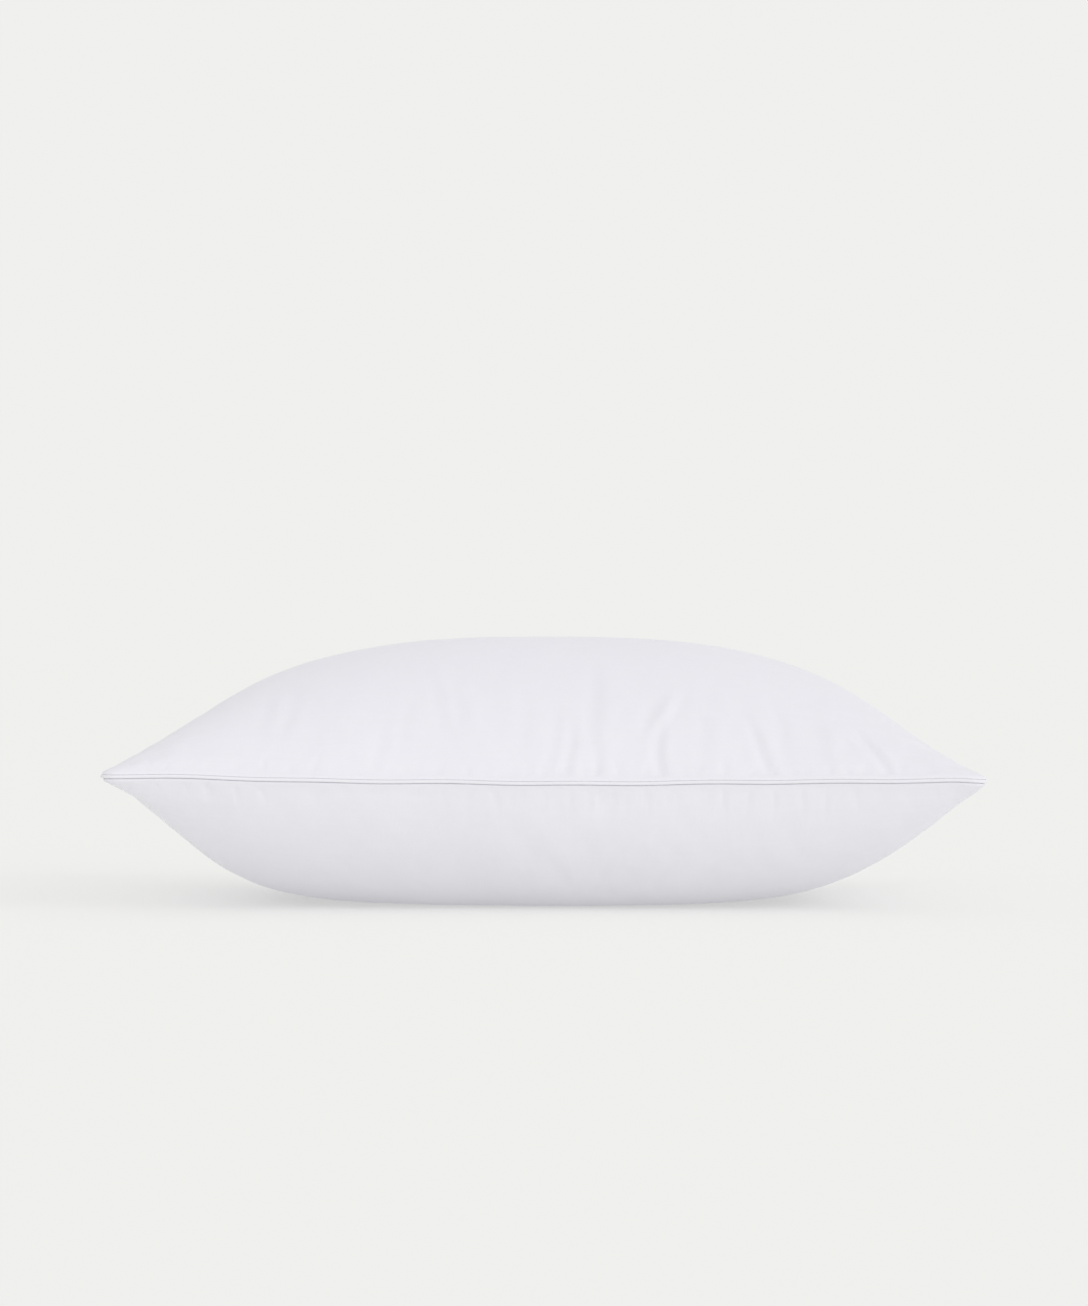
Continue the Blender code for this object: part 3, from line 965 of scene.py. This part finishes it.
def overlock_wrap():
    """The looper thread: over the raw edge, along below it, and back over, stitch by stitch."""
    over = (
        (OVERLOCK_MOUTH, OVERLOCK_UP),
        (OVERLOCK_EDGE, OVERLOCK_UP),
        (OVERLOCK_EDGE, -OVERLOCK_UP),
        (OVERLOCK_MOUTH, -OVERLOCK_UP),
        (OVERLOCK_EDGE, -OVERLOCK_UP),
        (OVERLOCK_EDGE, OVERLOCK_UP),
    )
    steps = SEAM_STITCHES * len(over)
    return [beside_seam(step / steps, *over[step % len(over)]) for step in range(steps)]


for row, side, node in (
    ("needle_thread", 1, "seam_thread_upper"),
    ("bobbin_thread", -1, "seam_thread_lower"),
):
    piece = thread_run(
        row, [seam_row(side)], SEAM_THREAD_RADIUS, True, white_thread
    )
    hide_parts(node)
overlock = thread_run(
    "overlock", [overlock_wrap()], OVERLOCK_RADIUS, True, white_thread
)
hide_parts("overlock_thread")

# ----------------------------------------------------------------------------- the fills
# A core of small curled feathers in the middle chamber, and a layer of down clusters above
# and below it. Blown in loose, so each keeps a little clear of the cloth round it.

FILL_EDGE = 0.0115
LUMP = 0.0022
DOWN_LUMPS = 60.0  # to the metre
FEATHER_LUMPS = 45.0
DOWN_TO_SHELL = 0.0022
DOWN_TO_CHAMBER = 0.0017
CORE_TO_CHAMBER = 0.0025


def tuft_group():
    """Soft clumps with fine barbs over them, and a tone that follows their height: painted shade
    in the hollows between them.
    """
    group, given, result = new_group("tufts", ["Clumps", "Barbs"], ["Height", "ToneAndHollowShade"])
    nodes, links = group.nodes, group.links
    barbs = noise_of(group, given.outputs["Place"], given.outputs["Barbs"], 5.0)
    barbs.inputs["Distortion"].default_value = 1.2
    clumps = nodes.new("ShaderNodeTexVoronoi")
    clumps.feature = "SMOOTH_F1"
    links.new(given.outputs["Place"], clumps.inputs["Vector"])
    links.new(given.outputs["Clumps"], clumps.inputs["Scale"])
    mixed = nodes.new("ShaderNodeMath")
    mixed.operation = "MULTIPLY_ADD"
    mixed.inputs[1].default_value = -0.8
    links.new(clumps.outputs["Distance"], mixed.inputs[0])
    links.new(barbs.outputs["Fac"], mixed.inputs[2])
    links.new(mixed.outputs[0], result.inputs["Height"])
    # painted shade: the tone is the height, so it is darker in the hollows between the clumps
    links.new(stretched(group, mixed.outputs[0], -0.15, 0.55), result.inputs["ToneAndHollowShade"])
    return group


tufts = tuft_group()


def filling(name, pale, shade, clumps, barbs):
    """Down or feather, by the size of its clumps and of the barbs over them, with painted shade
    in the hollows between them.
    """
    made, shader = bare_finish(name, 0.95, 0.35)
    tree = made.node_tree
    place = tree.nodes.new("ShaderNodeTexCoord")
    tuft = tree.nodes.new("ShaderNodeGroup")
    tuft.node_tree = tufts
    tuft.inputs["Clumps"].default_value = clumps
    tuft.inputs["Barbs"].default_value = barbs
    tree.links.new(place.outputs["Object"], tuft.inputs["Place"])
    # from the painted shade in the hollows to the pale tops of the clumps
    coloured(tree, shader, tuft.outputs["ToneAndHollowShade"], shade, pale)
    lumps = raised(tree, tuft.outputs["Height"], 0.002, 0.8)
    tree.links.new(lumps.outputs["Normal"], shader.inputs["Normal"])
    return made


def set_back(start, towards, clearance, grain):
    """From one cloth towards the next, far enough to clear it, and further in the lumps."""
    gap = (towards - start).length
    lump = 0.5 + 0.5 * noise.noise(start * grain)
    return start.lerp(towards, min((clearance + LUMP * lump) / gap, 0.36))


def fill_body(name, outer, inner, material, node):
    """A closed soft mass between two lists of grid points."""
    bm = bmesh.new()
    bmesh.ops.create_grid(bm, x_segments=CELLS_X, y_segments=CELLS_Y, size=1)
    place = bm.verts.layers.int.new("place")
    bm.verts.ensure_lookup_table()
    for index, vertex in enumerate(bm.verts):
        vertex[place] = index
    bare = []
    for vertex, point in zip(bm.verts, panel_points[1]):
        to_side = (1 - abs(point.u)) * (HALF_LENGTH - SHORT_SIDE_PULL_IN)
        to_long = (1 - abs(point.v)) * (HALF_WIDTH - LONG_SIDE_PULL_IN)
        if min(to_side, to_long) < FILL_EDGE:
            bare.append(vertex)
    bmesh.ops.delete(bm, geom=bare, context="VERTS")
    copied = bmesh.ops.duplicate(bm, geom=bm.verts[:] + bm.edges[:] + bm.faces[:])["geom"]
    under = {item for item in copied if isinstance(item, bmesh.types.BMVert)}
    for vertex in bm.verts:
        vertex.co = (inner if vertex in under else outer)[vertex[place]]
    bmesh.ops.bridge_loops(bm, edges=[edge for edge in bm.edges if edge.is_boundary])
    bmesh.ops.recalc_face_normals(bm, faces=bm.faces)
    piece = finished(name, bm, 0, 0, material)
    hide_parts(node)


down = filling("down_clusters", (0.90, 0.89, 0.86), (0.80, 0.785, 0.745), 90.0, 380.0)
feather = filling("feather_core", (0.80, 0.775, 0.72), (0.60, 0.565, 0.505), 60.0, 240.0)

shell_points = {
    side: [point.settled + point.fold for point in panel_points[side]] for side in (1, -1)
}
chamber_faces = {1: outer_face(upper_chamber), -1: outer_face(lower_chamber)}
for name, side, node in (
    ("upper_down_layer", 1, "fill_top"),
    ("lower_down_layer", -1, "fill_bottom"),
):
    outside, inside = [], []
    for shell_point, chamber_point in zip(shell_points[side], chamber_points[side]):
        near_shell = set_back(shell_point, chamber_point, DOWN_TO_SHELL, DOWN_LUMPS)
        near_chamber = set_back(chamber_point, shell_point, DOWN_TO_CHAMBER, DOWN_LUMPS)
        outside.append(kept_clear(near_shell, shell_faces[side], 0.0008))
        inside.append(kept_clear(near_chamber, chamber_faces[side], -0.0004))
    fill_body(name, outside, inside, down, node)
above, below = [], []
for over, under in zip(chamber_points[1], chamber_points[-1]):
    top = set_back(over, under, CORE_TO_CHAMBER, FEATHER_LUMPS)
    bottom = set_back(under, over, CORE_TO_CHAMBER, FEATHER_LUMPS)
    above.append(kept_clear(top, chamber_faces[1], 0.0009))
    below.append(kept_clear(bottom, chamber_faces[-1], 0.0009))
fill_body("feather_core", above, below, feather, "fill_core")

# ---------------------------------------------------------------------- closing stitches
# Edge stitching along the right-hand side, just inside the piping, where the filling went
# in. There is a row on each face, and each thread dips into its own shell panel.

CLOSING_LENGTH = 0.1856
CLOSING_STITCHES = 66
CLOSING_INSET = 0.0025
CLOSING_RADIUS = 0.00025
# along one stitch, and how far the thread's middle stands off the cloth, in mm
CLOSING_LIE = ((0.0, -0.30), (0.14, 0.05), (0.32, 0.22), (0.54, 0.24), (0.76, 0.20), (0.92, 0.0))


def closing_row(side):
    """The thread of one face: it lies on the cloth and dips into it at each stitch."""
    depsgraph = bpy.context.evaluated_depsgraph_get()
    cloth = BVHTree.FromObject(upper_shell if side > 0 else lower_shell, depsgraph)
    flank = sorted(
        (point.settled.y, point.settled)
        for point in panel_points[side]
        if 0.0 < (1 - point.u) * HALF_LENGTH < 0.008
    )
    points = []
    for number in range(CLOSING_STITCHES):
        for along, stand_off in CLOSING_LIE:
            y = CLOSING_LENGTH * ((number + along) / CLOSING_STITCHES - 0.5)
            ring = min(flank, key=lambda entry: abs(entry[0] - y))[1]
            v = y / HALF_WIDTH
            rim = beside_seam(turn_of(1.0, v), 0.0, side * RIM_RISE)
            inwards = (Vector((ring.x, y, ring.z)) - rim).normalized()
            outwards = inwards.cross(Vector((0.0, -side, 0.0))).normalized()
            guess = rim + inwards * CLOSING_INSET + outwards * 0.001
            surface, normal, _, _ = cloth.find_nearest(guess)
            points.append(surface + normal * stand_off * 0.001)
    return points


for name, side, node in (
    ("closing_row_upper", 1, "closing_stitch_upper"),
    ("closing_row_lower", -1, "closing_stitch_lower"),
):
    piece = thread_run(
        name, [closing_row(side)], CLOSING_RADIUS, False, white_thread
    )
    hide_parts(node)
